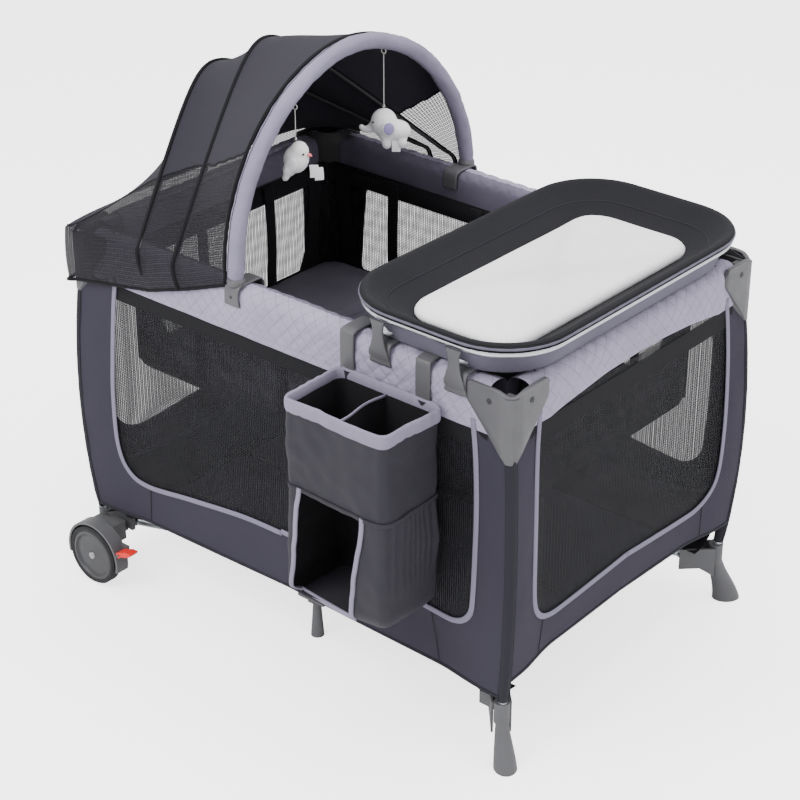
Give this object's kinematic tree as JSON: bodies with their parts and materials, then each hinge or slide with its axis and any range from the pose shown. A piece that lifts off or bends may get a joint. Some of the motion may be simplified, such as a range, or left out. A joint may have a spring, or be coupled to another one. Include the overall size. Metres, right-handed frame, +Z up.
{
  "type": "travel play yard",
  "caption": "Folding travel play yard: tube frame with mesh walls, raised bassinet, flip-away changer, hanging organizer, padded canopy with soft toys, wheels at one end and feet at the other.",
  "frame": {"origin": "centre of the sole of the centre hub's foot, on the floor under the middle of the yard", "axes": "+Z up; +X along the yard from the wheels and canopy towards the changer and feet; the organizer hangs on the -Y side"},
  "size_m": [1.0792, 0.921, 1.084],
  "materials": {
    "arch_sleeve": "light padded sleeve",
    "bag_fabric": "black polyester with light piping",
    "canopy_fabric": "slate polyester and mesh",
    "changer_fabric": "charcoal polyester with silver piping",
    "dark_plastic": "moulded plastic",
    "floor_fabric": "black polyester",
    "grey_plastic": "satin moulded plastic",
    "liner_fabric": "black mesh and polyester",
    "mattress_fabric": "charcoal polyester",
    "pad_fabric": "white quilted pad",
    "plush": "white plush",
    "quilt_fabric": "light quilted polyester",
    "red_plastic": "red moulded plastic",
    "silver_tube": "silver enamelled steel tube",
    "steel_pin": "bright steel",
    "steel_tube": "enamelled steel tube",
    "string": "white cord",
    "tyre_rubber": "matt tyre",
    "wall_fabric": "slate polyester and black mesh"
  },
  "bodies": {
    "corner_fr": {"post_fr": "steel_tube", "corner_cap_fr": "grey_plastic", "foot_fr": "grey_plastic", "side_fabric": "wall_fabric", "rail_cover": "quilt_fabric"},
    "tube_fr": {"base_tube_fr": "silver_tube"},
    "hub_front": {"side_hub_front": "grey_plastic"},
    "tube_fl": {"base_tube_fl": "silver_tube"},
    "corner_fl": {"post_fl": "steel_tube", "corner_cap_fl": "grey_plastic", "wheel_carrier_fl": "grey_plastic", "wheel_axle_fl": "steel_pin"},
    "link_front": {"cross_link_front": "steel_tube"},
    "hub": {"centre_hub": "dark_plastic", "floor_panel": "floor_fabric", "bassinet_liner": "liner_fabric", "changer_clamps": "grey_plastic", "organizer_hooks": "grey_plastic", "organizer_bag": "bag_fabric"},
    "link_rear": {"cross_link_rear": "steel_tube"},
    "hub_rear": {"side_hub_rear": "grey_plastic"},
    "tube_rr": {"base_tube_rr": "silver_tube"},
    "tube_rl": {"base_tube_rl": "silver_tube"},
    "corner_rr": {"post_rr": "steel_tube", "corner_cap_rr": "grey_plastic", "foot_rr": "grey_plastic"},
    "corner_rl": {"post_rl": "steel_tube", "corner_cap_rl": "grey_plastic", "wheel_carrier_rl": "grey_plastic", "wheel_axle_rl": "steel_pin"},
    "mattress": {"bassinet_mattress": "mattress_fabric"},
    "wheel_fl": {"wheel_fl": "grey_plastic", "tyre_fl": "tyre_rubber"},
    "wheel_rl": {"wheel_rl": "grey_plastic", "tyre_rl": "tyre_rubber"},
    "lever_fl": {"brake_lever_fl": "red_plastic"},
    "lever_rl": {"brake_lever_rl": "red_plastic"},
    "canopy": {"canopy_arch": "arch_sleeve", "canopy_rods": "steel_tube", "canopy_clips": "grey_plastic", "canopy_fabric": "canopy_fabric"},
    "toy_a": {"toy_string_a": "string", "toy_bird": "plush"},
    "toy_b": {"toy_string_b": "string", "toy_elephant": "plush"},
    "changer": {"changer_frame": "silver_tube", "changer_tub": "changer_fabric", "changer_pad": "pad_fabric"},
    "rail_front_r": {"rail_front_r": "steel_tube"},
    "rail_front_l": {"rail_front_l": "steel_tube"},
    "latch_front": {"rail_latch_front": "dark_plastic"},
    "rail_rear_r": {"rail_rear_r": "steel_tube"},
    "rail_rear_l": {"rail_rear_l": "steel_tube"},
    "latch_rear": {"rail_latch_rear": "dark_plastic"},
    "rail_right_f": {"rail_right_f": "steel_tube"},
    "rail_right_b": {"rail_right_b": "steel_tube"},
    "latch_right": {"rail_latch_right": "dark_plastic"},
    "rail_left_f": {"rail_left_f": "steel_tube"},
    "rail_left_b": {"rail_left_b": "steel_tube"},
    "latch_left": {"rail_latch_left": "dark_plastic"}
  },
  "joints": [
    {"name": "fold", "type": "hinge", "parent": "corner_fr", "child": "tube_fr", "pos_m": [0.445, -0.301, 0.096], "axis": [0, 1, 0], "range_deg": [0, 80], "deforming": ["side_fabric", "rail_cover", "floor_panel", "bassinet_liner"]},
    {"name": "fold_hub_front", "type": "hinge", "parent": "tube_fr", "child": "hub_front", "pos_m": [0.022, -0.262, 0.096], "axis": [0, -1, 0], "range_deg": [0, 80]},
    {"name": "fold_tube_fl", "type": "hinge", "parent": "hub_front", "child": "tube_fl", "pos_m": [-0.022, -0.262, 0.096], "axis": [0, -1, 0], "range_deg": [0, 80]},
    {"name": "fold_corner_fl", "type": "hinge", "parent": "tube_fl", "child": "corner_fl", "pos_m": [-0.445, -0.301, 0.096], "axis": [0, 1, 0], "range_deg": [0, 80]},
    {"name": "fold_link_front", "type": "hinge", "parent": "hub_front", "child": "link_front", "pos_m": [-0.02, -0.231, 0.096], "axis": [1, 0, 0], "range_deg": [0, 80]},
    {"name": "fold_hub", "type": "hinge", "parent": "link_front", "child": "hub", "pos_m": [-0.02, 0.022, 0.096], "axis": [-1, 0, 0], "range_deg": [0, 80]},
    {"name": "fold_link_rear", "type": "hinge", "parent": "hub", "child": "link_rear", "pos_m": [0.02, -0.022, 0.096], "axis": [-1, 0, 0], "range_deg": [0, 80]},
    {"name": "fold_hub_rear", "type": "hinge", "parent": "link_rear", "child": "hub_rear", "pos_m": [0.02, 0.231, 0.096], "axis": [1, 0, 0], "range_deg": [0, 80]},
    {"name": "fold_tube_rr", "type": "hinge", "parent": "hub_rear", "child": "tube_rr", "pos_m": [0.022, 0.262, 0.096], "axis": [0, 1, 0], "range_deg": [0, 80]},
    {"name": "fold_corner_rr", "type": "hinge", "parent": "tube_rr", "child": "corner_rr", "pos_m": [0.445, 0.301, 0.096], "axis": [0, -1, 0], "range_deg": [0, 80]},
    {"name": "fold_tube_rl", "type": "hinge", "parent": "hub_rear", "child": "tube_rl", "pos_m": [-0.022, 0.262, 0.096], "axis": [0, -1, 0], "range_deg": [0, 80]},
    {"name": "fold_corner_rl", "type": "hinge", "parent": "tube_rl", "child": "corner_rl", "pos_m": [-0.445, 0.301, 0.096], "axis": [0, 1, 0], "range_deg": [0, 80]},
    {"name": "fold_rail_front_r", "type": "hinge", "parent": "corner_fr", "child": "rail_front_r", "pos_m": [0.423, -0.322, 0.712], "axis": [0, -1, 0], "range_deg": [0, 80]},
    {"name": "fold_rail_front_l", "type": "hinge", "parent": "rail_front_r", "child": "rail_front_l", "pos_m": [0, -0.322, 0.712], "axis": [0, 1, 0], "range_deg": [0, 160]},
    {"name": "fold_rail_rear_r", "type": "hinge", "parent": "corner_rr", "child": "rail_rear_r", "pos_m": [0.423, 0.322, 0.712], "axis": [0, -1, 0], "range_deg": [0, 80]},
    {"name": "fold_rail_rear_l", "type": "hinge", "parent": "rail_rear_r", "child": "rail_rear_l", "pos_m": [0, 0.322, 0.712], "axis": [0, 1, 0], "range_deg": [0, 160]},
    {"name": "fold_rail_right_f", "type": "hinge", "parent": "corner_fr", "child": "rail_right_f", "pos_m": [0.486, -0.253, 0.712], "axis": [-1, 0, 0], "range_deg": [0, 80]},
    {"name": "fold_rail_right_b", "type": "hinge", "parent": "rail_right_f", "child": "rail_right_b", "pos_m": [0.486, 0, 0.712], "axis": [1, 0, 0], "range_deg": [0, 160]},
    {"name": "fold_rail_left_f", "type": "hinge", "parent": "corner_fl", "child": "rail_left_f", "pos_m": [-0.486, -0.253, 0.712], "axis": [-1, 0, 0], "range_deg": [0, 80]},
    {"name": "fold_rail_left_b", "type": "hinge", "parent": "rail_left_f", "child": "rail_left_b", "pos_m": [-0.486, 0, 0.712], "axis": [1, 0, 0], "range_deg": [0, 160]},
    {"name": "latch_front_squeeze", "type": "slide", "parent": "rail_front_r", "child": "latch_front", "axis": [0, 0, 1], "range_m": [0, 0.004], "stiffness_N_per_m": 150},
    {"name": "latch_rear_squeeze", "type": "slide", "parent": "rail_rear_r", "child": "latch_rear", "axis": [0, 0, 1], "range_m": [0, 0.004], "stiffness_N_per_m": 150},
    {"name": "latch_right_squeeze", "type": "slide", "parent": "rail_right_f", "child": "latch_right", "axis": [0, 0, 1], "range_m": [0, 0.004], "stiffness_N_per_m": 150},
    {"name": "latch_left_squeeze", "type": "slide", "parent": "rail_left_f", "child": "latch_left", "axis": [0, 0, 1], "range_m": [0, 0.004], "stiffness_N_per_m": 150},
    {"name": "wheel_fl_spin", "type": "hinge", "parent": "corner_fl", "child": "wheel_fl", "pos_m": [-0.46, -0.404, 0.061], "axis": [0, 1, 0], "continuous": true},
    {"name": "brake_fl_press", "type": "hinge", "parent": "corner_fl", "child": "lever_fl", "pos_m": [-0.388, -0.404, 0.088], "axis": [0, 1, 0], "range_deg": [0, 18]},
    {"name": "wheel_rl_spin", "type": "hinge", "parent": "corner_rl", "child": "wheel_rl", "pos_m": [-0.46, 0.404, 0.061], "axis": [0, 1, 0], "continuous": true},
    {"name": "brake_rl_press", "type": "hinge", "parent": "corner_rl", "child": "lever_rl", "pos_m": [-0.388, 0.404, 0.088], "axis": [0, 1, 0], "range_deg": [0, 18]},
    {"name": "canopy_lift", "type": "slide", "parent": "hub", "child": "canopy", "axis": [0, 0, 1], "range_m": [0, 0.3]},
    {"name": "mattress_lift", "type": "slide", "parent": "hub", "child": "mattress", "axis": [0, 0, 1], "range_m": [0, 0.15]},
    {"name": "changer_flip", "type": "hinge", "parent": "hub", "child": "changer", "pos_m": [0.335, -0.337, 0.748], "axis": [1, 0, 0], "range_deg": [0, 90]},
    {"name": "toy_bird_swing", "type": "hinge", "parent": "canopy", "child": "toy_a", "pos_m": [-0.124, -0.158, 0.999], "axis": [1, 0, 0], "range_deg": [-20, 20]},
    {"name": "toy_elephant_swing", "type": "hinge", "parent": "canopy", "child": "toy_b", "pos_m": [-0.144, 0.103, 1.028], "axis": [1, 0, 0], "range_deg": [-20, 20]}
  ],
  "couplings": [
    {"joint": "fold_hub_front", "follows": "fold", "ratio": 1},
    {"joint": "fold_tube_fl", "follows": "fold", "ratio": 1},
    {"joint": "fold_corner_fl", "follows": "fold", "ratio": 1},
    {"joint": "fold_link_front", "follows": "fold", "ratio": 1},
    {"joint": "fold_hub", "follows": "fold", "ratio": 1},
    {"joint": "fold_link_rear", "follows": "fold", "ratio": 1},
    {"joint": "fold_hub_rear", "follows": "fold", "ratio": 1},
    {"joint": "fold_tube_rr", "follows": "fold", "ratio": 1},
    {"joint": "fold_corner_rr", "follows": "fold", "ratio": 1},
    {"joint": "fold_tube_rl", "follows": "fold", "ratio": 1},
    {"joint": "fold_corner_rl", "follows": "fold", "ratio": 1},
    {"joint": "fold_rail_front_r", "follows": "fold", "ratio": 1},
    {"joint": "fold_rail_front_l", "follows": "fold", "ratio": 2},
    {"joint": "fold_rail_rear_r", "follows": "fold", "ratio": 1},
    {"joint": "fold_rail_rear_l", "follows": "fold", "ratio": 2},
    {"joint": "fold_rail_right_f", "follows": "fold", "ratio": 1},
    {"joint": "fold_rail_right_b", "follows": "fold", "ratio": 2},
    {"joint": "fold_rail_left_f", "follows": "fold", "ratio": 1},
    {"joint": "fold_rail_left_b", "follows": "fold", "ratio": 2}
  ]
}
